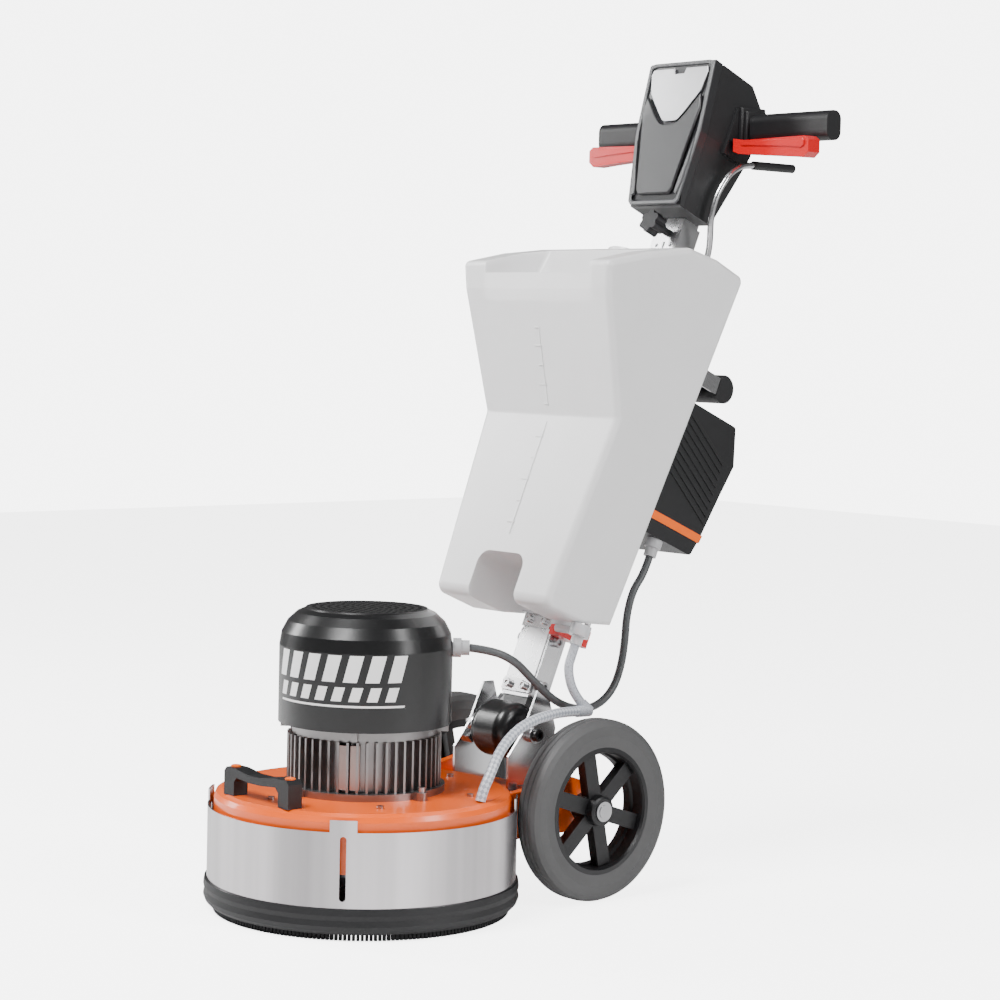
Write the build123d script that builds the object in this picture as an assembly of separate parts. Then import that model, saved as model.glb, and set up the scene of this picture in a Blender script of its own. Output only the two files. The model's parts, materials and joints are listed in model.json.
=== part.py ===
from build123d import *
import math
import os

# Walk-behind concrete grinder, millimetres. Modelled with the grinding head's axis at x = 0, y = 0,
# the front towards -Y, the operator behind at +Y and the floor at z = 0.

# Driving dimensions
BAND_R = 225.0            # steel skirt band, outer radius
RUBBER_R = 229.6          # rubber skirt, outer radius
DECK_R = 216.0            # grinding head cover, outer radius
DECK_TOP = 175.0
DECK_PLATE = 12.0
BAND_LOW, BAND_HIGH = 42.0, 152.0
TOOL_ORBIT = 108.0        # distance from the head's axis to each planet's axis
TOOL_R = 92.0
GEAR_MODULE = 6.0
SUN_TEETH, PLANET_TEETH, RING_TEETH = 18, 18, 54
GEAR_LOW, GEAR_HIGH = 84.0, 108.0
SHAFT_R = 14.0
STATOR_R, FIN_R = 98.0, 112.0
FAN_COVER_R = 125.6
FAN_COVER_LOW, FAN_COVER_HIGH = 273.5, 439.0
WHEEL_R, WHEEL_Y = 136.0, 306.0
WHEEL_IN, WHEEL_OUT = 140.0, 186.0
RIM_R = 95.0
AXLE_R = 10.0
RUNNING = 0.08            # radial clearance of a running fit
GAP = 0.3                 # clearance between moving neighbours
MAST_TILT = 22.8          # degrees, leaning back
MAST_Y, MAST_Z = 314.0, 344.0
PIVOT_Y, PIVOT_Z = 270.0, 238.0
MAST_HALF, MAST_DEEP, MAST_WALL = 29.0, 40.0, 3.0
MAST_END = 735.0
CLAMP_LOW, CLAMP_HIGH = -44.0, 60.0
STRAP_D = 14.0
GRIP_END_X = 254.0
ROD_X, ROD_D, ROD_R = 58.0, 45.0, 5.0
ROD_GRIP_END = 786.0
MID_Y = (ROD_GRIP_END - RUBBER_R) / 2

# The mast's own frame: X across, Y from its front face to its back, Z up along it.
lean = math.radians(MAST_TILT)
UP = (0, math.sin(lean), math.cos(lean))
mast = Plane(origin=(0, MAST_Y, MAST_Z), x_dir=(1, 0, 0), z_dir=UP).location

parts = {}


def box(x0, x1, y0, y1, z0, z1):
    return Pos((x0 + x1) / 2, (y0 + y1) / 2, (z0 + z1) / 2) * Box(x1 - x0, y1 - y0, z1 - z0)


def disc(r, z0, z1, x=0, y=0):
    return Pos(x, y, (z0 + z1) / 2) * Cylinder(r, z1 - z0)


def ring(outer, inner, z0, z1, x=0, y=0):
    return disc(outer, z0, z1, x, y) - disc(inner, z0 - 1, z1 + 1, x, y)


def bar(start, end, r):
    start, end = Vector(*start), Vector(*end)
    along = end - start
    return extrude(Plane(origin=start, z_dir=along) * Circle(r), along.length)


def cross_bar(r, x0, x1, y, z):
    return bar((x0, y, z), (x1, y, z), r)


def prism(points, x0, x1):
    """A side outline in (y, z), extruded across from x0 to x1."""
    outline = Plane.YZ.offset(x0) * make_face(Polyline(*points, close=True))
    return extrude(outline, x1 - x0)


def front_prism(points, y0, y1):
    """A front outline in (x, z), extruded from y0 back to y1."""
    outline = Plane.XZ.offset(-y0) * make_face(Polyline(*points, close=True))
    return extrude(outline, -(y1 - y0))


def turned(points, axis=Axis.Z):
    """A closed (radius, height) outline turned about Z."""
    return revolve(Plane.XZ * make_face(Polyline(*points, close=True)), axis)


def wheel_turned(points, side):
    """A closed (radius, x) outline turned about the wheel axle."""
    outline = [(side * x, r) for r, x in points]
    face = make_face(Polyline(*outline, close=True))
    solid = revolve(face, Axis.X)
    return Pos(0, WHEEL_Y, WHEEL_R) * solid


def ring_of(shape, count, first=0.0):
    """Copies of a shape set evenly about Z."""
    whole = Rot(0, 0, first) * shape
    for k in range(1, count):
        whole += Rot(0, 0, first + k * 360 / count) * shape
    return whole


def flank(base, radius):
    """The involute's polar angle at a radius."""
    if radius <= base:
        return 0.0
    pressure = math.acos(base / radius)
    return math.tan(pressure) - pressure


def gear(teeth, backlash, tip, root, turn=0.0):
    """An involute gear outline. Backlash is taken off the tooth's thickness at the pitch circle."""
    pitch = GEAR_MODULE * teeth / 2
    base = pitch * math.cos(math.radians(20))
    half = (math.pi * GEAR_MODULE / 2 - backlash) / 2 / pitch + flank(base, pitch)
    low, high = pitch - root, pitch + tip
    steps = [low + (high - low) * k / 6 for k in range(7)]
    rising = [(r, -half + flank(base, r)) for r in steps]
    tooth = rising + [(r, -a) for r, a in reversed(rising)]
    points = []
    for k in range(teeth):
        middle = 2 * math.pi * k / teeth + math.radians(turn)
        points += [(r * math.cos(middle + a), r * math.sin(middle + a)) for r, a in tooth]
    return make_face(Polyline(*points, close=True))


def route(points, r):
    """A round tube along straight runs joined by tangent arcs, with its corner radii printed."""
    points = [Vector(*p) for p in points]
    radii = []
    for before, here, after in zip(points, points[1:], points[2:]):
        turn = math.radians((here - before).get_angle(after - here))
        shorter = min((here - before).length, (after - here).length)
        radii.append(0.45 * shorter / math.tan(turn / 2))
    path = FilletPolyline(*points, radius=radii)
    start = Plane(origin=points[0], z_dir=points[1] - points[0])
    tube = sweep(start * Circle(r), path=path)
    print("radii", [round(v) for v in radii], "length", round(path.length))
    print("volume share", round(tube.volume / (math.pi * r * r * path.length), 3))
    return tube


# ---------------------------------------------------------------- grinding head cover and gear case
head_outline = [(62, DECK_TOP - DECK_PLATE), (208, DECK_TOP - DECK_PLATE), (208, 92), (DECK_R, 92),
                (DECK_R, 164), (213, 171), (205, DECK_TOP), (62, DECK_TOP)]
head_cover = turned(head_outline)

case_outline = [(170, 80), (180, 80), (180, 162.8), (20, 162.8), (20, 150), (170, 150)]
ring_gear = extrude(Circle(169.9), GEAR_HIGH - GEAR_LOW)
ring_gear -= extrude(gear(RING_TEETH, -0.3, 7.5, 5.4, 180 / RING_TEETH), GEAR_HIGH - GEAR_LOW)
parts["ring_gear"] = Pos(0, 0, GEAR_LOW) * ring_gear + turned(case_outline)
chassis_bolts = ring_of(disc(5, DECK_TOP, DECK_TOP + 4, 165), 6, 30)

# Pads beside the skirt's four slots keep the skirt round on the cover.
pad = box(DECK_R - 2, 221, 9, 22, 98, 112)
parts["head_cover"] = head_cover + ring_of(pad, 4, 45)

# ---------------------------------------------------------------- skirt: band, rubber and brush
TAB_HIGH = BAND_HIGH + 17
band = ring(BAND_R, BAND_R - 2.5, BAND_LOW, TAB_HIGH)
tab = box(BAND_R - 12, BAND_R + 12, -19, 19, BAND_HIGH - 10, TAB_HIGH + 10)
band -= ring(BAND_R + 8, BAND_R - 8, BAND_HIGH, TAB_HIGH + 5) - ring_of(tab, 4, 45)
slot = box(BAND_R - 10, BAND_R + 10, -4.5, 4.5, 61, 142)
slot += bar((BAND_R - 10, 0, 61), (BAND_R + 10, 0, 61), 4.5)
slot += bar((BAND_R - 10, 0, 142), (BAND_R + 10, 0, 142), 4.5)
band -= ring_of(slot, 4, 45)
band -= box(-134, 134, 100, 260, 66, 200)
parts["skirt_band"] = band

rubber_outline = [(206, 10), (222, 10), (227, 15), (RUBBER_R, 22), (228, 30), (RUBBER_R, 37),
                  (228.4, 46), (BAND_R + 0.1, 46), (BAND_R + 0.1, BAND_LOW), (206, BAND_LOW)]
parts["skirt_rubber"] = turned(rubber_outline)
parts["skirt_brush"] = ring(215.5, 207.5, 0, 10)

# ---------------------------------------------------------------- motor
lug = box(112.6, 127, -9, 9, DECK_TOP, DECK_TOP + 12) + disc(9, DECK_TOP, DECK_TOP + 12, 127)
flange = disc(118, DECK_TOP, 185)
flange += ring_of(lug, 4, 2)
flange -= disc(70.6, 170, 190)
parts["motor_flange"] = flange
chassis_bolts += ring_of(disc(5.5, DECK_TOP + 12, DECK_TOP + 19, 127), 4, 2)

fins = []
FINS = 50
for k in range(FINS):
    middle = 2 * math.pi * k / FINS
    narrow, wide = 1.7 / FIN_R, 2.4 / STATOR_R
    for r, a in ((STATOR_R, -wide), (FIN_R, -narrow), (FIN_R, narrow), (STATOR_R, wide)):
        fins.append((r * math.cos(middle + a), r * math.sin(middle + a)))
housing = extrude(make_face(Polyline(*fins, close=True)), 258 - 185)
parts["stator_housing"] = Pos(0, 0, 185) * (housing - extrude(Circle(70.6), 80))

shield = ring(105, SHAFT_R + RUNNING, 258, 273.3)
strut = box(100, FAN_COVER_R - 3.1, -4, 4, 262, 290)
shield += ring_of(strut, 4, 45)
parts["motor_end_shield"] = shield

cover_outer = [(FAN_COVER_R, FAN_COVER_LOW), (FAN_COVER_R, 385), (122.5, 404), (114, 420),
               (101, 432), (90, 437), (88, FAN_COVER_HIGH), (0, FAN_COVER_HIGH)]
cover_inner = [(0, 435.5), (86, 435.5), (99, 429), (111.5, 417.5), (119.5, 402),
               (FAN_COVER_R - 3, 384), (FAN_COVER_R - 3, FAN_COVER_LOW)]
fan_cover = turned(cover_outer + cover_inner)
vents = []
for row in range(1, 8):
    for k in range(6 * row):
        angle = 2 * math.pi * k / (6 * row)
        vents.append((11 * row * math.cos(angle), 11 * row * math.sin(angle)))
fan_cover -= Pos(0, 0, 430) * extrude(Sketch() + [Pos(x, y) * Circle(3.2) for x, y in vents], 20)
gland_way = Vector(0.66, 0.7513, 0)
fan_cover -= bar(gland_way * 110 + Vector(0, 0, 383), gland_way * 140 + Vector(0, 0, 383), 8)
parts["fan_cover"] = fan_cover

gland_z = Vector(0, 0, 383)
gland = bar(gland_way * 125.8 + gland_z, gland_way * 138 + gland_z, 14)
gland += bar(gland_way * 138 + gland_z, gland_way * 150 + gland_z, 11)
gland += bar(gland_way * 118 + gland_z, gland_way * 126 + gland_z, 7.9)
parts["motor_gland"] = gland

# ---------------------------------------------------------------- rotor
parts["motor_rotor"] = disc(SHAFT_R, GEAR_LOW - 26, 372) + disc(70, 192, 251)
blade = box(22, 92, -2, 2, 330, 356)
fan = ring(26, SHAFT_R, 326, 360) + ring(92, 20, 326, 330)
for k in range(8):
    fan += Rot(0, 0, k * 45) * blade
parts["cooling_fan"] = fan
sun = extrude(gear(SUN_TEETH, 0.3, 5.4, 7.5), GEAR_HIGH - GEAR_LOW)
parts["sun_gear"] = Pos(0, 0, GEAR_LOW) * (sun - extrude(Circle(SHAFT_R), 40))

# ---------------------------------------------------------------- carrier and the three planets
carrier = disc(150, 60, 74)
planet_places = [(TOOL_ORBIT * math.cos(2 * math.pi * k / 3), TOOL_ORBIT * math.sin(2 * math.pi * k / 3))
                 for k in range(3)]
for x, y in planet_places:
    carrier += disc(32, 46, 60, x, y)
    carrier -= disc(24, 40, 80, x, y)
carrier -= disc(22, 50, 80)
carrier += ring(22.5, SHAFT_R + RUNNING, 60, 74)
for x, y in planet_places:
    carrier += ring(24.5, 16 + RUNNING, 46, 74, x, y)
parts["carrier"] = carrier

shoe = box(52, 86, -11, 11, 0, 8)
for k, (x, y) in enumerate(planet_places):
    letter = "abc"[k]
    planet = extrude(gear(PLANET_TEETH, 0.3, 5.4, 7.5, k * 120 + 180 / PLANET_TEETH), 24)
    holder = Pos(0, 0, GEAR_LOW) * planet + disc(TOOL_R, 8, 16) + disc(60, 16, 24) + disc(16, 24, 112)
    for n in range(3):
        holder -= Rot(0, 0, n * 120 + 60) * disc(4.25, 0, 30, 38)
    parts["planet_head_" + letter] = Pos(x, y, 0) * holder
    parts["diamond_shoes_" + letter] = Pos(x, y, 0) * ring_of(shoe, 6, 30)

# ---------------------------------------------------------------- lifting handle on the cover
handle = front_prism([(-72, DECK_TOP), (-72, 209), (-67, 215), (-45, 215), (-15, 210), (15, 210),
                      (52, 215), (76, 215), (81, 209), (81, DECK_TOP), (57, DECK_TOP), (57, 195),
                      (50, 202), (15, 199), (-15, 199), (-42, 202), (-48, 195), (-48, DECK_TOP)],
                     -196, -172)
parts["lift_handle"] = handle

# ---------------------------------------------------------------- rear frame, axle and tilt brackets
ARM_IN, ARM_OUT = 112.0, 126.0
arm_outline = [(150, 163), (232, 172), (288, 183), (344, 165), (350, 126), (300, 98), (150, 98)]
arms = prism(arm_outline, ARM_IN, ARM_OUT) + prism(arm_outline, -ARM_OUT, -ARM_IN)
arms -= disc(DECK_R + 0.05, 50, 250) + cross_bar(AXLE_R + 0.02, -200, 200, WHEEL_Y, WHEEL_R)
parts["axle_arms"] = arms
platform = box(-ARM_IN, ARM_IN, 150, 300, 146, 154) - disc(DECK_R + 0.05, 50, 250)
parts["rear_platform"] = platform
parts["axle_bar"] = cross_bar(AXLE_R, -189.5, 189.5, WHEEL_Y, WHEEL_R)
spacer = cross_bar(14, 126, 139.6, WHEEL_Y, WHEEL_R) - cross_bar(AXLE_R + 0.02, 100, 200, WHEEL_Y, WHEEL_R)
clip = cross_bar(15, 186.4, 188.4, WHEEL_Y, WHEEL_R) - cross_bar(AXLE_R, 180, 200, WHEEL_Y, WHEEL_R)
parts["axle_spacers"] = spacer + clip + mirror(spacer + clip, Plane.YZ)

BRACKET_IN, BRACKET_OUT = 60.0, 64.0
bracket_outline = [(224, 154), (224, 208), (252, 242), (280, 303), (300, 303), (318, 244), (300, 154)]
foot = box(BRACKET_OUT, 86, 226, 296, 154, 158)
bracket = prism(bracket_outline, BRACKET_IN, BRACKET_OUT) + foot
bracket -= cross_bar(AXLE_R + 0.02, 50, 70, PIVOT_Y, PIVOT_Z)
parts["tilt_brackets"] = bracket + mirror(bracket, Plane.YZ)
nuts = disc(7, 158, 165, 75, 242) + disc(7, 158, 165, 75, 282)
parts["chassis_bolts"] = chassis_bolts + nuts + mirror(nuts, Plane.YZ)
HUB_HALF = 38.0
HUB_R = 43.0
HUB_ROUND = 18.0
pin = cross_bar(AXLE_R, -BRACKET_OUT - 6, BRACKET_OUT + 6, PIVOT_Y, PIVOT_Z)
pin_end = cross_bar(12, BRACKET_OUT + 0.2, BRACKET_OUT + 8, PIVOT_Y, PIVOT_Z)
pin += pin_end + mirror(pin_end, Plane.YZ)
pin += cross_bar(16, HUB_HALF + GAP, BRACKET_IN - 0.1, PIVOT_Y, PIVOT_Z)
pin += cross_bar(16, -48.5, -HUB_HALF - GAP, PIVOT_Y, PIVOT_Z)
parts["pivot_pin"] = pin

# Bright stay beside the hub, swinging on the pivot pin inside the right bracket.
STAY_IN, STAY_OUT = -49.0, -59.5
stay = prism([(241, 222), (249, 212), (322, 273), (314, 283)], STAY_OUT, STAY_IN)
stay += cross_bar(18, STAY_OUT, STAY_IN, PIVOT_Y, PIVOT_Z)
parts["mast_stay"] = stay - cross_bar(AXLE_R + RUNNING, -70, -40, PIVOT_Y, PIVOT_Z)

# ---------------------------------------------------------------- wheels
tyre_outline = [(RIM_R, 143), (112, 139), (126, 140.5), (133, 145), (135.4, 151), (WHEEL_R, 156),
                (134.3, 157), (134.3, 159), (WHEEL_R, 160), (WHEEL_R, 166), (134.3, 167),
                (134.3, 169), (WHEEL_R, 170), (135.4, 175), (133, 181), (126, 185.5), (112, 187), (RIM_R, 183)]
rim_outline = [(83, 142), (RIM_R, 143), (RIM_R, 183), (88, 184), (86, 180), (86, 160), (83, 156)]
hub_outline = [(AXLE_R + RUNNING, WHEEL_IN), (22, WHEEL_IN), (24, 160), (22, WHEEL_OUT - 2),
               (19, WHEEL_OUT), (AXLE_R + RUNNING, WHEEL_OUT)]
for name, side in (("left", 1), ("right", -1)):
    tyre = wheel_turned(tyre_outline, side)
    rim = wheel_turned(rim_outline, side) + wheel_turned(hub_outline, side)
    spoke = box(150, 172, -7, 7, 20, 85) + box(166, 172, -12, 12, 20, 85)
    if side < 0:
        spoke = mirror(spoke, Plane.YZ)
    for k in range(6):
        rim += Pos(0, WHEEL_Y, WHEEL_R) * (Rot(60 * k + 12, 0, 0) * spoke)
    parts[name + "_tyre"] = tyre
    parts[name + "_rim"] = rim

# ---------------------------------------------------------------- mast
tube = box(-MAST_HALF, MAST_HALF, 0, MAST_DEEP, -60, MAST_END)
inside = MAST_HALF - MAST_WALL
tube -= box(-inside, inside, MAST_WALL, MAST_DEEP - MAST_WALL, -70, MAST_END + 10)
tube -= box(-2.5, 2.5, -1, MAST_WALL + 1, 560, 700)
for s in range(580, 700, 38):
    tube -= bar((-15, -1, s), (-15, MAST_WALL + 1, s), 3) + bar((15, -1, s), (15, MAST_WALL + 1, s), 3)
tube -= bar((0, -1, 716), (0, MAST_WALL + 1, 716), 6.1)
parts["mast_tube"] = mast * tube

plug = box(-25.8, 25.8, 3.2, 36.8, -104, -20)
hub = cross_bar(HUB_R, -HUB_HALF, HUB_HALF, PIVOT_Y, PIVOT_Z)
hub = mast.inverse() * fillet(hub.edges().filter_by(GeomType.CIRCLE), HUB_ROUND)
hub += plug
hub -= mast.inverse() * cross_bar(AXLE_R + RUNNING, -60, 60, PIVOT_Y, PIVOT_Z)
parts["mast_hub"] = mast * hub

strap = box(29, 34, 1, 27, -60, 52)
strap = fillet(strap.edges().filter_by(Axis.X), 10)
clamp_low = box(-31, 31, -4, 0, CLAMP_LOW - 10, CLAMP_LOW + 10)
clamp_high = box(-31, 31, -4, 0, CLAMP_HIGH - 11, CLAMP_HIGH + 11)
clamp_high += box(-31, 31, -12, 0, CLAMP_HIGH + 8, CLAMP_HIGH + 11)
fittings = strap + mirror(strap, Plane.YZ) + clamp_low + clamp_high
for s in (CLAMP_LOW, CLAMP_HIGH):
    for x in (-17, 17):
        fittings += bar((x, -8, s), (x, -4, s), 4.5)
for s in (-38, 34):
    fittings += bar((34, STRAP_D, s), (38, STRAP_D, s), 9) + bar((-38, STRAP_D, s), (-34, STRAP_D, s), 9)

# ---------------------------------------------------------------- water tank
TANK_WALL = 3.5
TANK_EDGE = 10.0
tank_side = [(-113, 58), (-113, 357), (-222.5, 518), (-240, 556), (-171.5, 601.5), (-96.6, 642.8),
             (-36, 651), (22, 649), (28.2, 640), (28.2, 76), (-32, 58)]


def tank_body(grow):
    """The tank's outline grown or shrunk by a wall, wider towards the top."""
    side_face = make_face(Polyline(*tank_side, close=True))
    low_corners = side_face.vertices().filter_by(lambda v: v.Y < 70)
    side_face = fillet(low_corners, 16)
    high_corners = side_face.vertices().filter_by(lambda v: 345 < v.Y < 400 or v.Y > 500)
    side_face = fillet(high_corners, 9)
    if grow:
        side_face = offset(side_face, amount=grow, kind=Kind.INTERSECTION)
    body = extrude(Plane.YZ.offset(-200) * side_face, 400)
    low, high = 120.0 + grow, 174.5 + grow
    width = [(-low, -40), (low, -40), (high, 660), (-high, 660)]
    return body & front_prism(width, -300, 100)


shell = tank_body(0)
upright = shell.edges().filter_by(lambda e: abs(e.center().X) > 100)
shell = fillet(upright, TANK_EDGE)
notch = box(-52, 52, -130, 40, 30, 132)
notch = fillet(notch.edges().filter_by(Axis.Y).filter_by(lambda e: e.center().Z > 100), 22)
channel = box(-MAST_HALF - 2.5, MAST_HALF + 2.5, -6, 60, 20, 700)
pocket_side = [(-300, 700), (-300, 540), (-229, 540), (-214, 512), (-192, 500), (-142, 520), (-122, 640),
               (-114, 700)]
pocket = prism(pocket_side, -112, 122)
pocket = fillet(pocket.edges().filter_by(lambda e: abs(e.center().X - 5) > 115 and e.center().Y > -240), 6)
shell -= notch + channel + pocket
cavity = tank_body(-TANK_WALL)
wall_notch = box(-56, 56, -140, 44, 20, 136)
wall_notch = fillet(wall_notch.edges().filter_by(Axis.Y).filter_by(lambda e: e.center().Z > 100), 26)
wall_channel = box(-MAST_HALF - 6, MAST_HALF + 6, -10, 70, 20, 700)
wall_pocket = prism([(-300, 700), (-300, 534), (-234, 536), (-218, 508), (-192, 496), (-138, 516),
                     (-118, 640), (-110, 700)], -116, 126)
cavity -= wall_notch + wall_channel + wall_pocket
mouth = disc(34, 620, 680, 0, -62)
parts["water_tank"] = mast * (shell - cavity - mouth)
parts["tank_cap"] = mast * (disc(33.8, 636, 648, 0, -62) + disc(12, 648, 651, 0, -62))
outlet = disc(16, 40, 57.5, 120, -24) + bar((70, -24, 48), (108, -24, 48), 6) + disc(9, 26, 40, 120, -24)
parts["tank_outlet"] = mast * outlet

# ---------------------------------------------------------------- water valve and its pull rod
valve = box(42, 66, -12, 30, 40, 56) + box(50, 66, 30, 45, 44, 56) + disc(9, 40, 66, ROD_X, ROD_D)
valve -= disc(ROD_R + RUNNING, 38, 80, ROD_X, ROD_D)
parts["water_valve"] = mast * valve
guide = box(29.1, 68, 38.5, 51.5, -6, 6)
guides = Pos(0, 0, 190) * guide + Pos(0, 0, 575) * guide - disc(ROD_R + RUNNING, 0, 700, ROD_X, ROD_D)
fittings += guides


def on_mast(x, d, s):
    return mast.position + Vector(x, 0, 0) + Vector(0, math.cos(lean), -math.sin(lean)) * d + Vector(*UP) * s


rod_points = [on_mast(ROD_X, ROD_D, 42), on_mast(ROD_X, ROD_D, 655), on_mast(67, 37, 700),
              Vector(74, 613, 1031), Vector(80, 620, 1066), Vector(85, 642, 1098),
              Vector(85, 668, 1111), Vector(85, 694, 1113)]
parts["water_rod"] = route([tuple(p) for p in rod_points], ROD_R)
parts["water_rod_grip"] = bar((85, 694, 1113), (85, ROD_GRIP_END, 1113), 7)

# ---------------------------------------------------------------- control box on the mast's back
box_side = [(54, 248), (62, 240), (172, 240), (181, 272), (194, 347), (205, 403), (183, 461), (54, 461)]
whole_box = prism(box_side, -95, 95)
whole_box = fillet(whole_box.edges().filter_by(Axis.X).filter_by(lambda e: e.center().Y > 100), 6)
band_side = [(52.5, 264), (52.5, 277), (184, 277), (181, 264)]
parts["control_box"] = mast * whole_box
parts["control_box_band"] = mast * (prism(band_side, -96.5, 96.5) - whole_box)
fittings += box(-27, 27, MAST_DEEP, 54, 300, 440)
box_gland = bar((80, 104, 240), (80, 104, 226), 13) + bar((80, 104, 226), (80, 104, 212), 10)
inlet = bar((-40, 120, 240), (-40, 120, 214), 24) - bar((-40, 120, 236), (-40, 120, 200), 20)
inlet += bar((-40, 120, 237), (-40, 120, 220), 3) + bar((-30, 120, 237), (-30, 120, 220), 3)
inlet += bar((-50, 120, 237), (-50, 120, 220), 3)
parts["box_connectors"] = mast * (box_gland + inlet)

# ---------------------------------------------------------------- rear rest
fittings += box(-28, 28, MAST_DEEP, 184, 516, 544) - box(-25, 25, 45, 190, 510, 541)
parts["mast_fittings"] = mast * fittings
rest = bar((-29, 196, 530), (29, 196, 530), 23) - box(-50, 50, 150, 184.2, 500, 560)
parts["rest_rubber"] = mast * rest

# ---------------------------------------------------------------- height slide and console
inner = box(-25.7, 25.7, 3.3, 36.7, 440, 790) - box(-22.7, 22.7, 6.3, 33.7, 430, 800)
parts["inner_mast"] = mast * inner
knob = bar((0, -46, 716), (0, -24, 716), 15)
for k in range(6):
    a = math.radians(60 * k)
    knob += bar((13 * math.sin(a), -46, 716 + 13 * math.cos(a)),
                (13 * math.sin(a), -24, 716 + 13 * math.cos(a)), 6)
knob += bar((0, -24, 716), (0, -14, 716), 9) + bar((0, -14, 716), (0, 3, 716), 6)
parts["height_knob"] = mast * knob

console_side = [(-64, 975), (11, 975), (47, 948), (50, 856), (32, 742), (-34, 742)]
console_face = [(-80, 975), (-64.2, 975), (-34.2, 742), (-42, 742), (-50, 760)]
console_front = [(-72, 1000), (-72, 860), (-55, 740), (55, 740), (72, 860), (72, 1000)]
housing = prism(console_side, -80, 80) & front_prism(console_front, -100, 80)
housing -= box(-26.2, 26.2, 2.8, 37.2, 730, 791)
housing = fillet(housing.edges().filter_by(Axis.X).filter_by(lambda e: e.center().Z > 930), 4)
cover = prism(console_face, -80, 80) & front_prism(console_front, -100, 80)
parts["console_cover"] = mast * cover

grip_face = Pos(692, 1169) * RectangleRounded(32, 46, 14)
grip = extrude(Plane.YZ.offset(79) * grip_face, GRIP_END_X - 79)
parts["handle_grips"] = grip + mirror(grip, Plane.YZ)
parts["console_housing"] = mast * (housing + box(-79, 79, -10, 45, 848, 926))
for name, side in (("left", 1), ("right", -1)):
    lever = front_prism([(86, 1152), (86, 1132), (98, 1128), (200, 1121), (234, 1118), (244, 1126),
                         (244, 1145), (236, 1151), (110, 1149)], 646, 672)
    parts[name + "_lever"] = lever if side > 0 else mirror(lever, Plane.YZ)

# Operator's controls on the console's back: display, start and stop buttons, speed dial, rocker.
PANEL_FACE = 54.0


def panel_bar(x, r, low, high):
    """A round control standing off the operator panel."""
    return bar((x, PANEL_FACE + low, 882), (x, PANEL_FACE + high, 882), r)


panel = prism([(48.4, 946), (51.8, 946), (54.6, 862), (50.8, 862)], -62, 62)
panel += panel_bar(-42, 12, -2, 6.5) - panel_bar(-42, 9.3, 1, 10)
panel += panel_bar(0, 10, -2, 8) - panel_bar(0, 7.3, 1, 10)
parts["display_panel"] = mast * panel
parts["start_button"] = mast * panel_bar(-42, 9, 5, 9.5)
parts["stop_button"] = mast * (panel_bar(0, 7, 6, 12) + panel_bar(0, 15, 12, 20))
dial = panel_bar(40, 14, 0.8, 16) + box(38.8, 41.2, PANEL_FACE + 15, PANEL_FACE + 18, 882, 895)
parts["speed_dial"] = mast * dial

# ---------------------------------------------------------------- cable and hoses
gland_end = gland_way * 150 + gland_z
box_gland_end = on_mast(80, 104, 212)
cable_points = [tuple(gland_end), (121, 141, 379), (128, 176, 362), (120, 210, 338), (108, 250, 311),
                (96, 292, 288), (89, 332, 275), (85, 369, 272), (83, 400, 282), (81, 424, 303),
                (80, 438, 335), (80, 444, 372), (80, 446, 410), (80, 458, 448),
                tuple(box_gland_end - Vector(*UP) * 28), tuple(box_gland_end)]
parts["motor_cable"] = route(cable_points, 6)
outlet_end = on_mast(120, -24, 26)
hose_top = [tuple(outlet_end), tuple(outlet_end - Vector(*UP) * 18), (121, 288, 346), (123, 290, 324),
            (125, 299, 304), (127, 312, 289)]
parts["tank_hose"] = route(hose_top, 7)
deck_hose = [(133, 296, 279.5), (139, 264, 282), (146, 228, 281), (153, 194, 278), (160, 160, 270),
             (167, 130, 256), (175, 104, 236), (183, 84, 212), (184, 70, 190), (184, 66, 176)]
lower_hose = route(deck_hose, 7.5)
elbow = bar((127, 312, 289), (130, 324, 278), 8.5) + bar((130, 324, 278), (133, 296, 279.5), 8.5)
elbow += Pos(130, 324, 278) * Sphere(8.5)
parts["deck_hose"] = lower_hose + elbow

os.makedirs("parts", exist_ok=True)
for name, shape in parts.items():
    export_step(Pos(0, -MID_Y, 0) * shape, "parts/" + name + ".step")
print(len(parts), "parts, origin moved by", MID_Y)
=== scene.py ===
import bmesh
import bpy
import json
import math
from mathutils import Vector, Matrix


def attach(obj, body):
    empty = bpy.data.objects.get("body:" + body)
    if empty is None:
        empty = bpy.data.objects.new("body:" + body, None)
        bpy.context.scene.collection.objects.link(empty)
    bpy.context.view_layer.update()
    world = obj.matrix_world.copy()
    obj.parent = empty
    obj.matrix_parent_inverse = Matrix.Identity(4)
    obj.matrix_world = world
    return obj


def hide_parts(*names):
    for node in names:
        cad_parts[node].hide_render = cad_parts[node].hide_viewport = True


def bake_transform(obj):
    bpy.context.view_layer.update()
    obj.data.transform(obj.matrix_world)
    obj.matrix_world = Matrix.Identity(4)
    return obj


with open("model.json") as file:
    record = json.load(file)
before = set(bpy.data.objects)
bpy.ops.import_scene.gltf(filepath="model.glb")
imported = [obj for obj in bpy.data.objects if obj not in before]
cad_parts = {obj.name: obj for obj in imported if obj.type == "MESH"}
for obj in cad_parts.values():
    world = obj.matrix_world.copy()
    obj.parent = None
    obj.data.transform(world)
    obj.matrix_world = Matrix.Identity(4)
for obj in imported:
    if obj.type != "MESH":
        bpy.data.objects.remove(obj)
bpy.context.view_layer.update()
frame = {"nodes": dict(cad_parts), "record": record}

# Places are in millimetres from the grinding head's axis, and P turns them into metres.
MID_Y = 278.2
LEAN = math.radians(22.8)          # the mast leans back
MAST_Y, MAST_Z = 314, 344          # foot of the mast's front face
PIVOT_Y, PIVOT_Z = 270, 238        # axis the mast tilts about
COVER_R = 125.6                    # motor fan cover
FIN_BASE_R = 104                   # where the stator pads stand
STRAP_FACE = 37.9                  # outer face of the mast's side bolts
CLAMP_FACE = -4.1                  # front face of the mast's clamp plates
BOX_SIDE = 94.5                    # the control box's ribbed side
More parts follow.
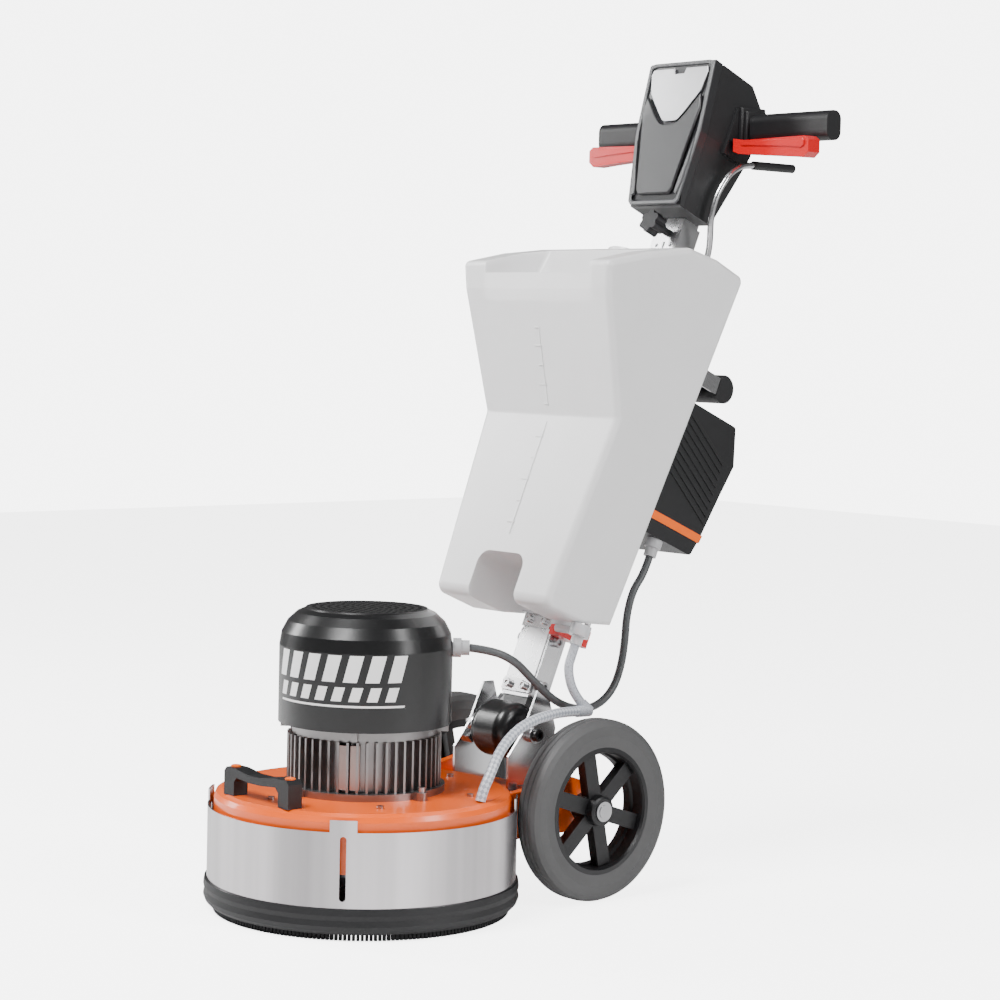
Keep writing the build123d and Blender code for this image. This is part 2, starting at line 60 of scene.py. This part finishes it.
LEVER_FACE = 646                   # front of the squeeze levers
GRIP_Y, GRIP_Z = 692, 1169         # the handle grips' centre line
UP = Vector((0, math.sin(LEAN), math.cos(LEAN)))
BACK = Vector((0, math.cos(LEAN), -math.sin(LEAN)))


def P(x, y, z):
    return Vector((x, y - MID_Y, z)) / 1000


def M(x, d, s):
    """A place on the mast: across, behind its front face, and up along it."""
    return P(x, MAST_Y, MAST_Z) + (BACK * d + UP * s) / 1000


def face_at(x, s, out):
    """A place on the console's sloping front, standing out of it."""
    return M(x, -80 + (975 - s) * 30 / 215 - out, s)


# ------------------------------------------------------------------ materials
def shader(name, color, rough, metal=0.0, vary=0.06, grain=400.0, bump=0.05, stretch=(1, 1, 1),
           broad=(9, 9, 9), **inputs):
    """A procedural surface: broad noise varies its colour, and fine noise its roughness and grain."""
    mat = bpy.data.materials.new(name)
    mat.use_nodes = True
    nodes, links = mat.node_tree.nodes, mat.node_tree.links
    bsdf = nodes["Principled BSDF"]
    where = nodes.new("ShaderNodeTexCoord")
    mapping = nodes.new("ShaderNodeMapping")
    mapping.inputs["Scale"].default_value = stretch
    links.new(where.outputs["Object"], mapping.inputs["Vector"])
    patches = nodes.new("ShaderNodeMapping")
    patches.inputs["Scale"].default_value = broad
    links.new(where.outputs["Object"], patches.inputs["Vector"])
    cloud = nodes.new("ShaderNodeTexNoise")
    cloud.inputs["Scale"].default_value = 1.0
    cloud.inputs["Detail"].default_value = 5.0
    links.new(patches.outputs["Vector"], cloud.inputs["Vector"])
    fine = nodes.new("ShaderNodeTexNoise")
    fine.inputs["Scale"].default_value = grain
    fine.inputs["Detail"].default_value = 3.0
    links.new(mapping.outputs["Vector"], fine.inputs["Vector"])
    ramp = nodes.new("ShaderNodeValToRGB")
    ramp.color_ramp.elements[0].position = 0.3
    ramp.color_ramp.elements[1].position = 0.7
    ramp.color_ramp.elements[0].color = [c * (1 - vary) for c in color] + [1]
    ramp.color_ramp.elements[1].color = [min(1, c * (1 + vary)) for c in color] + [1]
    links.new(cloud.outputs["Fac"], ramp.inputs["Fac"])
    links.new(ramp.outputs["Color"], bsdf.inputs["Base Color"])
    spread = nodes.new("ShaderNodeMapRange")
    spread.inputs["To Min"].default_value = max(0.02, rough * 0.85)
    spread.inputs["To Max"].default_value = min(1.0, rough * 1.15)
    links.new(fine.outputs["Fac"], spread.inputs["Value"])
    links.new(spread.outputs["Result"], bsdf.inputs["Roughness"])
    bsdf.inputs["Metallic"].default_value = metal
    if bump:
        relief = nodes.new("ShaderNodeBump")
        relief.inputs["Strength"].default_value = bump
        relief.inputs["Distance"].default_value = 0.001
        links.new(fine.outputs["Fac"], relief.inputs["Height"])
        links.new(relief.outputs["Normal"], bsdf.inputs["Normal"])
    for key, value in inputs.items():
        bsdf.inputs[key.replace("_", " ")].default_value = value
    return mat


MAT = {
    "orange_paint": shader("orange_paint", (0.95, 0.12, 0.0), 0.33, grain=900, bump=0.04, Coat_Weight=0.3,
                           Coat_Roughness=0.15),
    # band_steel: painted reflection. Its base colour swings ±55 % in tall vertical streaks (the broad noise
    # squashed in height) to stand in for softbox reflections on the steel band; the anisotropic sheen is real
    # shading.
    "band_steel": shader("band_steel", (0.5, 0.48, 0.49), 0.22, 1.0, 0.55, 60, 0.03, (0.3, 0.3, 30),
                         (7, 7, 0.1),
                         Anisotropic=0.6),
    "black_rubber": shader("black_rubber", (0.005, 0.005, 0.006), 0.55, vary=0.2, grain=700, bump=0.12),
    "bristle": shader("bristle", (0.004, 0.004, 0.005), 0.75, vary=0.3, grain=900, bump=0.3),
    "cast_aluminium": shader("cast_aluminium", (0.3, 0.29, 0.29), 0.34, 0.95, 0.15, 500, 0.12),
    "bronze_cast": shader("bronze_cast", (0.36, 0.29, 0.27), 0.4, 0.85, 0.25, 350, 0.15),
    "gloss_black": shader("gloss_black", (0.006, 0.006, 0.0065), 0.3, vary=0.15, grain=1200, bump=0.05,
                          Coat_Weight=0.2, Coat_Roughness=0.2),
    "black_plastic": shader("black_plastic", (0.005, 0.005, 0.006), 0.45, vary=0.15, grain=1500, bump=0.12),
    "grey_plastic": shader("grey_plastic", (0.42, 0.42, 0.43), 0.4, grain=900, bump=0.05),
    "steel": shader("steel", (0.45, 0.45, 0.46), 0.3, 1.0, 0.1, 300, 0.06),
    "bright_steel": shader("bright_steel", (0.68, 0.68, 0.69), 0.24, 1.0, 0.06, 250, 0.03),
    "diamond_metal": shader("diamond_metal", (0.22, 0.18, 0.13), 0.6, 0.6, 0.3, 900, 0.4),
    "grey_tyre": shader("grey_tyre", (0.07, 0.07, 0.071), 0.6, vary=0.1, grain=600, bump=0.12),
    "mast_aluminium": shader("mast_aluminium", (0.72, 0.72, 0.73), 0.28, 1.0, 0.05, 80, 0.04, (1, 0.3, 0.3)),
    "brushed_plate": shader("brushed_plate", (0.42, 0.42, 0.43), 0.34, 1.0, 0.12, 90, 0.05, (6, 0.2, 0.2)),
    "milky_plastic": shader("milky_plastic", (0.93, 0.925, 0.93), 0.32, vary=0.02, grain=120, bump=0.03,
                            Subsurface_Weight=0.35, Subsurface_Scale=0.03, Subsurface_Radius=(1, 1, 1),
                            Coat_Weight=0.2, Coat_Roughness=0.15),
    "clear_fitting": shader("clear_fitting", (0.8, 0.82, 0.84), 0.2, grain=300, bump=0.03,
                            Transmission_Weight=0.45),
    "red_plastic": shader("red_plastic", (0.58, 0.004, 0.006), 0.28, grain=900, bump=0.03, Coat_Weight=0.4,
                          Coat_Roughness=0.1),
    "orange_plastic": shader("orange_plastic", (0.95, 0.14, 0.0), 0.33, grain=900, bump=0.04),
    "console_grey": shader("console_grey", (0.016, 0.0165, 0.018), 0.36, vary=0.08, grain=1400, bump=0.06,
                           Coat_Weight=0.15),
    "frame_grey": shader("frame_grey", (0.075, 0.077, 0.08), 0.35, vary=0.06, grain=1400, bump=0.05),
    "green_plastic": shader("green_plastic", (0.01, 0.24, 0.03), 0.3, grain=800, bump=0.03),
    "grey_cable": shader("grey_cable", (0.07, 0.073, 0.076), 0.45, grain=600, bump=0.06),
    "hose": shader("hose", (0.55, 0.57, 0.62), 0.28, grain=400, bump=0.05, Transmission_Weight=0.25),
    "white_print": shader("white_print", (0.88, 0.88, 0.88), 0.45, vary=0.02, grain=800, bump=0.02),
}


def braid(mat, turns, rows):
    """Adds a hose's woven diamonds, which follow the tube's own around-and-along coordinates."""
    nodes, links = mat.node_tree.nodes, mat.node_tree.links
    bsdf = nodes["Principled BSDF"]
    uv = nodes.new("ShaderNodeUVMap")
    uv.uv_map = "around"
    mapping = nodes.new("ShaderNodeMapping")
    mapping.inputs["Rotation"].default_value = (0, 0, math.radians(45))
    mapping.inputs["Scale"].default_value = (turns, rows, 1)
    links.new(uv.outputs["UV"], mapping.inputs["Vector"])
    checks = nodes.new("ShaderNodeTexChecker")
    checks.inputs["Scale"].default_value = 1.0
    checks.inputs["Color1"].default_value = (0.62, 0.64, 0.68, 1)
    checks.inputs["Color2"].default_value = (0.33, 0.35, 0.4, 1)
    links.new(mapping.outputs["Vector"], checks.inputs["Vector"])
    links.new(checks.outputs["Color"], bsdf.inputs["Base Color"])


BRAIDED = shader("braided_hose", (0.5, 0.52, 0.56), 0.3, grain=400, bump=0.05)
braid(BRAIDED, 9, 9)


def paint(obj, mat):
    """Gives a piece one material in place of any that it has."""
    obj.data.materials.clear()
    obj.data.materials.append(mat)


SLOTS = {s["node"]: s["material_slot"] for s in frame["record"]["subparts"]}
for node, obj in frame["nodes"].items():
    paint(obj, MAT[SLOTS[node]])


# ------------------------------------------------------------------ mesh helpers
def finish_piece(bm, name, mat, body, bevel=0.0, angle=35):
    """Makes a mesh object, with its material, rounded edges, body and material slot."""
    bmesh.ops.recalc_face_normals(bm, faces=bm.faces)
    mesh = bpy.data.meshes.new(name)
    bm.to_mesh(mesh)
    bm.free()
    obj = bpy.data.objects.new(name, mesh)
    bpy.context.scene.collection.objects.link(obj)
    for polygon in mesh.polygons:
        polygon.use_smooth = True
    mesh.set_sharp_from_angle(angle=math.radians(angle))
    paint(obj, mat if not isinstance(mat, str) else MAT[mat])
    if bevel:
        rounding = obj.modifiers.new("rounding", "BEVEL")
        rounding.width = bevel / 1000
        rounding.segments = 3
        rounding.limit_method = "ANGLE"
        rounding.harden_normals = False
    if body:
        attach(obj, body)
    return obj


def slab(name, outline, place, low, high, mat, body, bevel=0.8):
    """An outline (u, v) made solid between two heights, each corner put in place by a function."""
    bm = bmesh.new()
    bottom = [bm.verts.new(place(u, v, low)) for u, v in outline]
    top = [bm.verts.new(place(u, v, high)) for u, v in outline]
    bm.faces.new(bottom)
    bm.faces.new(list(reversed(top)))
    count = len(outline)
    for k in range(count):
        n = (k + 1) % count
        bm.faces.new((bottom[k], bottom[n], top[n], top[k]))
    return finish_piece(bm, name, mat, body, bevel)


def rim_slab(name, outer, inner, place, low, high, mat, body, bevel=0.6):
    """A closed strip between two outlines with the same number of points."""
    bm = bmesh.new()
    rings = [[bm.verts.new(place(u, v, h)) for u, v in points]
             for points, h in ((outer, low), (outer, high), (inner, high), (inner, low))]
    count = len(outer)
    for a in range(4):
        one, two = rings[a], rings[(a + 1) % 4]
        for k in range(count):
            n = (k + 1) % count
            bm.faces.new((one[k], one[n], two[n], two[k]))
    return finish_piece(bm, name, mat, body, bevel)


def lathe(name, profile, centre, axis, mat, body, steps=64):
    """A (radius, along) profile turned about an axis."""
    axis = Vector(axis).normalized()
    across = axis.orthogonal().normalized()
    other = axis.cross(across)
    bm = bmesh.new()
    loops = []
    for r, along in profile:
        if r == 0:
            loops.append([bm.verts.new(centre + axis * along / 1000)])
            continue
        turns = [2 * math.pi * k / steps for k in range(steps)]
        loops.append([bm.verts.new(
            centre + (axis * along + (across * math.cos(a) + other * math.sin(a)) * r) / 1000) for a in turns])
    for one, two in zip(loops, loops[1:]):
        for k in range(steps):
            n = (k + 1) % steps
            ring = [one[k % len(one)], one[n % len(one)], two[n % len(two)], two[k % len(two)]]
            kept = [v for i, v in enumerate(ring) if v not in ring[:i]]
            if len(kept) > 2:
                bm.faces.new(kept)
    return finish_piece(bm, name, mat, body)


def socket_screw(name, centre, axis, r, body, mat="steel"):
    """A cap screw's head with its socket, turned as a round recess."""
    head = [(0, 0), (r, 0), (r, r * 0.7), (r * 0.85, r * 0.85), (r * 0.55, r * 0.85), (r * 0.5, r * 0.35),
            (0, r * 0.3)]
    return lathe(name, head, centre, axis, mat, body, 24)


def spline_points(name, points):
    """The smooth line of a cord: its route is the control points of an open NURBS spline."""
    curve = bpy.data.curves.new(name + "_line", "CURVE")
    curve.dimensions = "3D"
    spline = curve.splines.new("NURBS")
    spline.points.add(len(points) - 1)
    for k, p in enumerate(points):
        spline.points[k].co = (*p, 1)
    spline.order_u = 3
    spline.use_endpoint_u = True
    spline.resolution_u = 12
    holder = bpy.data.objects.new(name + "_line", curve)
    bpy.context.scene.collection.objects.link(holder)
    bpy.context.view_layer.update()
    mesh = bpy.data.meshes.new_from_object(holder)
    line = [v.co.copy() for v in mesh.vertices]
    bpy.data.objects.remove(holder)
    bpy.data.curves.remove(curve)
    bpy.data.meshes.remove(mesh)
    return line


def tube(name, line, r, mat, body=None, sides=24):
    """A closed round tube along a line of points, with around-and-along coordinates."""
    bm = bmesh.new()
    layer = bm.loops.layers.uv.new("around")
    across = (line[1] - line[0]).orthogonal().normalized()
    rings, lengths, run = [], [], 0.0
    for k, p in enumerate(line):
        along = (line[min(k + 1, len(line) - 1)] - line[max(k - 1, 0)]).normalized()
        across = (across - along * across.dot(along)).normalized()
        other = along.cross(across)
        run += (p - line[k - 1]).length if k else 0
        lengths.append(run)
        rings.append([bm.verts.new(p + (across * math.cos(a) + other * math.sin(a)) * r / 1000)
                      for a in (2 * math.pi * i / sides for i in range(sides))])
    for k in range(len(line) - 1):
        for i in range(sides):
            n = (i + 1) % sides
            quad = bm.faces.new((rings[k][i], rings[k][n], rings[k + 1][n], rings[k + 1][i]))
            girth = 2 * math.pi * r / 1000
            spots = ((i, k), (i + 1, k), (i + 1, k + 1), (i, k + 1))
            for loop, (around, step) in zip(quad.loops, spots):
                loop[layer].uv = (around / sides, lengths[step] / girth)
    bm.faces.new(list(reversed(rings[0])))
    bm.faces.new(rings[-1])
    return finish_piece(bm, name, mat, body, angle=60)


def on_cover(u, v, out):
    """A place on the fan cover: the distance around it, the height, and how far it stands out."""
    r = COVER_R + out
    a = u / COVER_R
    return P(r * math.sin(a), -r * math.cos(a), v)


# ------------------------------------------------------------------ grinding head and motor
def stripe(name, centre, low, high, width, slant):
    """A slanted white bar printed on the fan cover."""
    steps = 8
    left = [(centre - width / 2 + slant * (k / steps - 0.5), low + (high - low) * k / steps)
            for k in range(steps + 1)]
    bm = bmesh.new()
    columns = max(2, int(width / 3))
    grid = []
    for k in range(steps + 1):
        u0, v = left[k]
        grid.append([bm.verts.new(on_cover(u0 + width * c / columns, v, 0.25)) for c in range(columns + 1)])
    for a, b in zip(grid, grid[1:]):
        for c in range(columns):
            bm.faces.new((a[c], a[c + 1], b[c + 1], b[c]))
    return finish_piece(bm, name, "white_print", "chassis")


for k in range(7):
    stripe(f"cover_stripe_upper_{k}", -32 + 32 * k, 345, 383, 20, 10)
for k in range(8):
    stripe(f"cover_stripe_lower_{k}", -30 + 26 * k, 318, 338, 15, 6)
stripe("cover_stripe_line", 66, 309.5, 312.5, 210, 1)

for k, angle in enumerate((36, 45)):
    turn = Matrix.Rotation(math.radians(angle), 4, "Z")
    def pad_place(u, v, out, turn=turn):
        local = Vector((u / 1000, -(FIN_BASE_R + out) / 1000, v / 1000))
        return turn @ local - Vector((0, MID_Y / 1000, 0))
    slab(f"stator_pad_{k}", [(-7, 190), (7, 190), (7, 254), (-7, 254)], pad_place, 0, 7, "bronze_cast",
         "chassis", 1.0)

for k, x in enumerate((-60, 69)):
    lathe(f"lift_handle_cap_{k}", [(0, 0), (7.5, 0), (7.5, 1.6), (6, 2.6), (0, 3)], P(x, -184, 215),
          (0, 0, 1), "orange_plastic", "chassis", 32)

bm = bmesh.new()
TUFTS = 220
for k in range(TUFTS):
    a = 2 * math.pi * k / TUFTS
    half = math.pi / TUFTS * 0.72
    corners = []
    for r in (208, 215.4):
        for da in (-half, half):
            for z in (0.0, 12.0):
                corners.append(bm.verts.new(P(r * math.cos(a + da), r * math.sin(a + da), z)))
    for face in ((0, 1, 3, 2), (4, 5, 7, 6), (0, 1, 5, 4), (2, 3, 7, 6), (0, 2, 6, 4), (1, 3, 7, 5)):
        bm.faces.new([corners[i] for i in face])
brush = finish_piece(bm, "brush_tufts", "bristle", "skirt")
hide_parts("skirt_brush")

# ------------------------------------------------------------------ console
CORNERS = [(-72, 972), (-60, 975), (60, 975), (72, 972), (72, 860), (56, 748), (50, 742), (-50, 742),
           (-56, 748), (-72, 860)]
INSET = [(-65, 966), (-58, 969), (58, 969), (65, 966), (65, 861), (50, 752), (46, 748), (-46, 748),
         (-50, 752), (-65, 861)]
rim_slab("console_frame", CORNERS, INSET, face_at, -0.5, 3.0, "frame_grey", "console", 1.2)
SHIELD = [(-60, 964), (-13, 964), (-10, 955), (10, 955), (13, 964), (60, 964), (63, 955), (56, 925),
          (32, 895), (18, 880), (12, 877), (-12, 877), (-18, 880), (-32, 895), (-56, 925), (-63, 955)]
slab("console_shield", SHIELD, face_at, 0.2, 4.0, "brushed_plate", "console", 0.8)
PANEL = [(-34, 888), (-59, 920), (-64, 895), (-56, 855), (-40, 765), (-34, 757), (34, 757), (40, 765),
         (56, 855), (64, 895), (59, 920), (34, 888), (20, 875), (12, 872), (-12, 872), (-20, 875)]
slab("console_centre_panel", PANEL, face_at, 0.2, 7.0, "console_grey", "console", 2.5)
for side in (1, -1):
    name = "left" if side > 0 else "right"
    CRESCENT = [(44, 760), (50, 756), (56, 775), (62, 810), (64, 850), (60, 835), (54, 805), (47, 778)]
    slab(f"console_crescent_{name}", [(side * x, s) for x, s in CRESCENT], face_at, 0.2, 5.0,
         "frame_grey", "console", 1.5)

for side in (1, -1):
    name = "left" if side > 0 else "right"
    RIDGE = [(104, 1147), (104, 1141), (200, 1136), (229, 1133), (236, 1137), (236, 1145), (232, 1148)]
    slab(f"lever_ridge_{name}", [(side * x, z) for x, z in RIDGE],
         lambda x, z, out: P(x, LEVER_FACE - out, z), -0.2, 2.2, "red_plastic", f"{name}_lever", 0.8)
    for k, (x, half_y, half_z) in enumerate(((80, 27, 34), (86, 22, 28))):
        FOOT = [(GRIP_Y - half_y, GRIP_Z - half_z), (GRIP_Y + half_y, GRIP_Z - half_z),
                (GRIP_Y + half_y, GRIP_Z + half_z), (GRIP_Y - half_y, GRIP_Z + half_z)]
        slab(f"grip_foot_{name}_{k}", FOOT, lambda y, z, out, x=x, side=side: P(side * (x + out), y, z),
             -3, 6, "black_plastic", "console", 2)

# ------------------------------------------------------------------ control box ribs, mast details
for side in (1, -1):
    name = "left" if side > 0 else "right"
    for k in range(9):
        s0 = 322 + 12.5 * k
        rib = [(62, s0 + 28), (62, s0 + 34), (180, s0 - 22), (180, s0 - 28)]
        slab(f"box_rib_{name}_{k}", rib, lambda d, s, out, side=side: M(side * (BOX_SIDE + out), d, s),
             0, 2.5, "black_plastic", "mast", 0.5)

for k, (x, s) in enumerate(((-17, -44), (17, -44), (-17, 60), (17, 60))):
    socket_screw(f"mast_screw_{k}", M(x, CLAMP_FACE, s), -BACK, 6.5, "mast", "bright_steel")
for side in (1, -1):
    for k, s in enumerate((-38, 34)):
        socket_screw(f"strap_screw_{side + 1}_{k}", M(side * STRAP_FACE, 14, s), (side, 0, 0), 8, "mast")
    bolt = P(side * 71.9, PIVOT_Y, PIVOT_Z)
    lathe(f"pivot_washer_{side + 1}", [(6, 0), (12.5, 0), (12.5, 1.5), (6, 1.5)], bolt, (side, 0, 0),
          "steel", "chassis", 40)
    socket_screw(f"pivot_bolt_{side + 1}", bolt + Vector((side * 0.0014, 0, 0)), (side, 0, 0), 9.5,
                 "chassis", "gloss_black")

# ------------------------------------------------------------------ tank level scale
def tank_face(x, s, out):
    """A place on the tank's two front faces, the upper of which slopes forward."""
    d = -113 - out if s < 357 else -113 - (s - 357) * 109.5 / 161 - out
    return M(x, d, s)


slab("tank_scale_low", [(-0.8, 160), (0.8, 160), (0.8, 345), (-0.8, 345)], tank_face, 0, 1.6,
     "milky_plastic", "mast", 0.5)
slab("tank_scale_high", [(-0.8, 368), (0.8, 368), (0.8, 470), (-0.8, 470)], tank_face, 0, 1.6,
     "milky_plastic", "mast", 0.5)
for k, s in enumerate((180, 215, 250, 285, 320, 370, 395, 420, 445, 468)):
    width = 9 if k % 2 else 14
    tick = [(-width, s - 0.9), (width * 0.2, s - 0.9), (width * 0.2, s + 0.9), (-width, s + 0.9)]
    slab(f"tank_tick_{k}", tick, tank_face, 0, 1.8, "milky_plastic", "mast", 0.5)

# ------------------------------------------------------------------ cable and hoses
gland_way = Vector((0.66, 0.7513, 0))
gland_end = P(*(gland_way * 150 + Vector((0, 0, 383))))
box_end = M(80, 104, 212)
cable = [gland_end, P(121, 141, 379), P(128, 176, 362), P(120, 210, 338), P(108, 250, 311), P(96, 292, 288),
         P(89, 332, 275), P(85, 369, 272), P(83, 400, 282), P(81, 424, 303), P(80, 438, 335), P(80, 444, 372),
         P(80, 446, 410), P(80, 458, 448), box_end - UP * 0.028, box_end]
line = spline_points("motor_cable", cable)
piece = tube("motor_cable_run", line, 6, "grey_cable")
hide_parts("motor_cable")
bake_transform(piece)

outlet_end = M(120, -24, 26)
elbow_in, elbow_mid, elbow_out = P(127, 312, 289), P(130, 324, 278), P(133, 296, 279.5)
elbow_line = spline_points("hose_elbow", [elbow_in, elbow_mid, elbow_mid, elbow_out])
elbow = tube("hose_elbow", elbow_line, 8.6, "hose", "chassis")
upper = [outlet_end, outlet_end - UP * 0.018, P(121, 288, 346), P(123, 290, 324), P(125, 299, 304), elbow_in]
line = spline_points("tank_hose", upper)
piece = tube("tank_hose_run", line, 7, "hose")
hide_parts("tank_hose")
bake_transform(piece)

lower = [elbow_out, P(139, 264, 282), P(146, 228, 281), P(153, 194, 278), P(160, 160, 270), P(167, 130, 256),
         P(175, 104, 236), P(183, 84, 212), P(184, 70, 190), P(184, 66, 176)]
line = spline_points("deck_hose", lower)
piece = tube("deck_hose_run", line, 7.5, BRAIDED, "chassis")
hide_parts("deck_hose")

# ------------------------------------------------------------------ studio and camera
bpy.ops.mesh.primitive_plane_add(size=14, location=(0, 0, 0))
floor = bpy.context.object
floor.name = "studio_floor"
pale = shader("floor_pale", (0.9, 0.9, 0.9), 0.7, vary=0.01, grain=20, bump=0.0, Emission_Color=(1, 1, 1, 1))
floor_nodes, floor_links = pale.node_tree.nodes, pale.node_tree.links
floor_seen = floor_nodes.new("ShaderNodeLightPath")
floor_glow = floor_nodes.new("ShaderNodeMapRange")
floor_glow.inputs["To Min"].default_value = 0.12
floor_glow.inputs["To Max"].default_value = 4.4
floor_links.new(floor_seen.outputs["Is Camera Ray"], floor_glow.inputs["Value"])
floor_links.new(floor_glow.outputs["Result"], floor_nodes["Principled BSDF"].inputs["Emission Strength"])
paint(floor, pale)

world = bpy.data.worlds.new("studio")
bpy.context.scene.world = world
world.use_nodes = True
sky_nodes, sky_links = world.node_tree.nodes, world.node_tree.links
sky = sky_nodes["Background"]
sky.inputs["Color"].default_value = (1, 1, 1, 1)
seen_by = sky_nodes.new("ShaderNodeLightPath")
glow = sky_nodes.new("ShaderNodeMapRange")
glow.inputs["To Min"].default_value = 0.14
glow.inputs["To Max"].default_value = 6.0
sky_links.new(seen_by.outputs["Is Camera Ray"], glow.inputs["Value"])
sky_links.new(glow.outputs["Result"], sky.inputs["Strength"])


def softbox(name, place, target, size, power):
    light = bpy.data.lights.new(name, "AREA")
    light.shape = "RECTANGLE"
    light.size, light.size_y = size
    light.energy = power
    lamp = bpy.data.objects.new(name, light)
    lamp.location = place
    lamp.rotation_euler = (Vector(target) - Vector(place)).to_track_quat("-Z", "Y").to_euler()
    bpy.context.scene.collection.objects.link(lamp)


softbox("key_box", (0.2, -2.3, 3.7), (0, 0, 0.5), (1.5, 1.5), 260)
softbox("side_box", (3.4, 0.9, 2.2), (0, 0, 0.5), (0.8, 2.4), 110)
softbox("fill_box", (-2.8, -1.4, 1.8), (0, 0, 0.5), (0.6, 2.2), 85)

camera = bpy.data.cameras.new("camera")
camera.sensor_width = 36
camera.lens = 92.2
eye = bpy.data.objects.new("camera", camera)
right, up, back = (0.6585, 0.7522, 0.0231), (-0.0642, 0.0255, 0.9976), (0.7499, -0.6584, 0.0651)
turn = Matrix((right, up, back)).transposed().to_4x4()
eye.matrix_world = Matrix.Translation(P(2897.6, -2292.6, 839.3)) @ turn
bpy.context.scene.collection.objects.link(eye)
bpy.context.scene.camera = eye
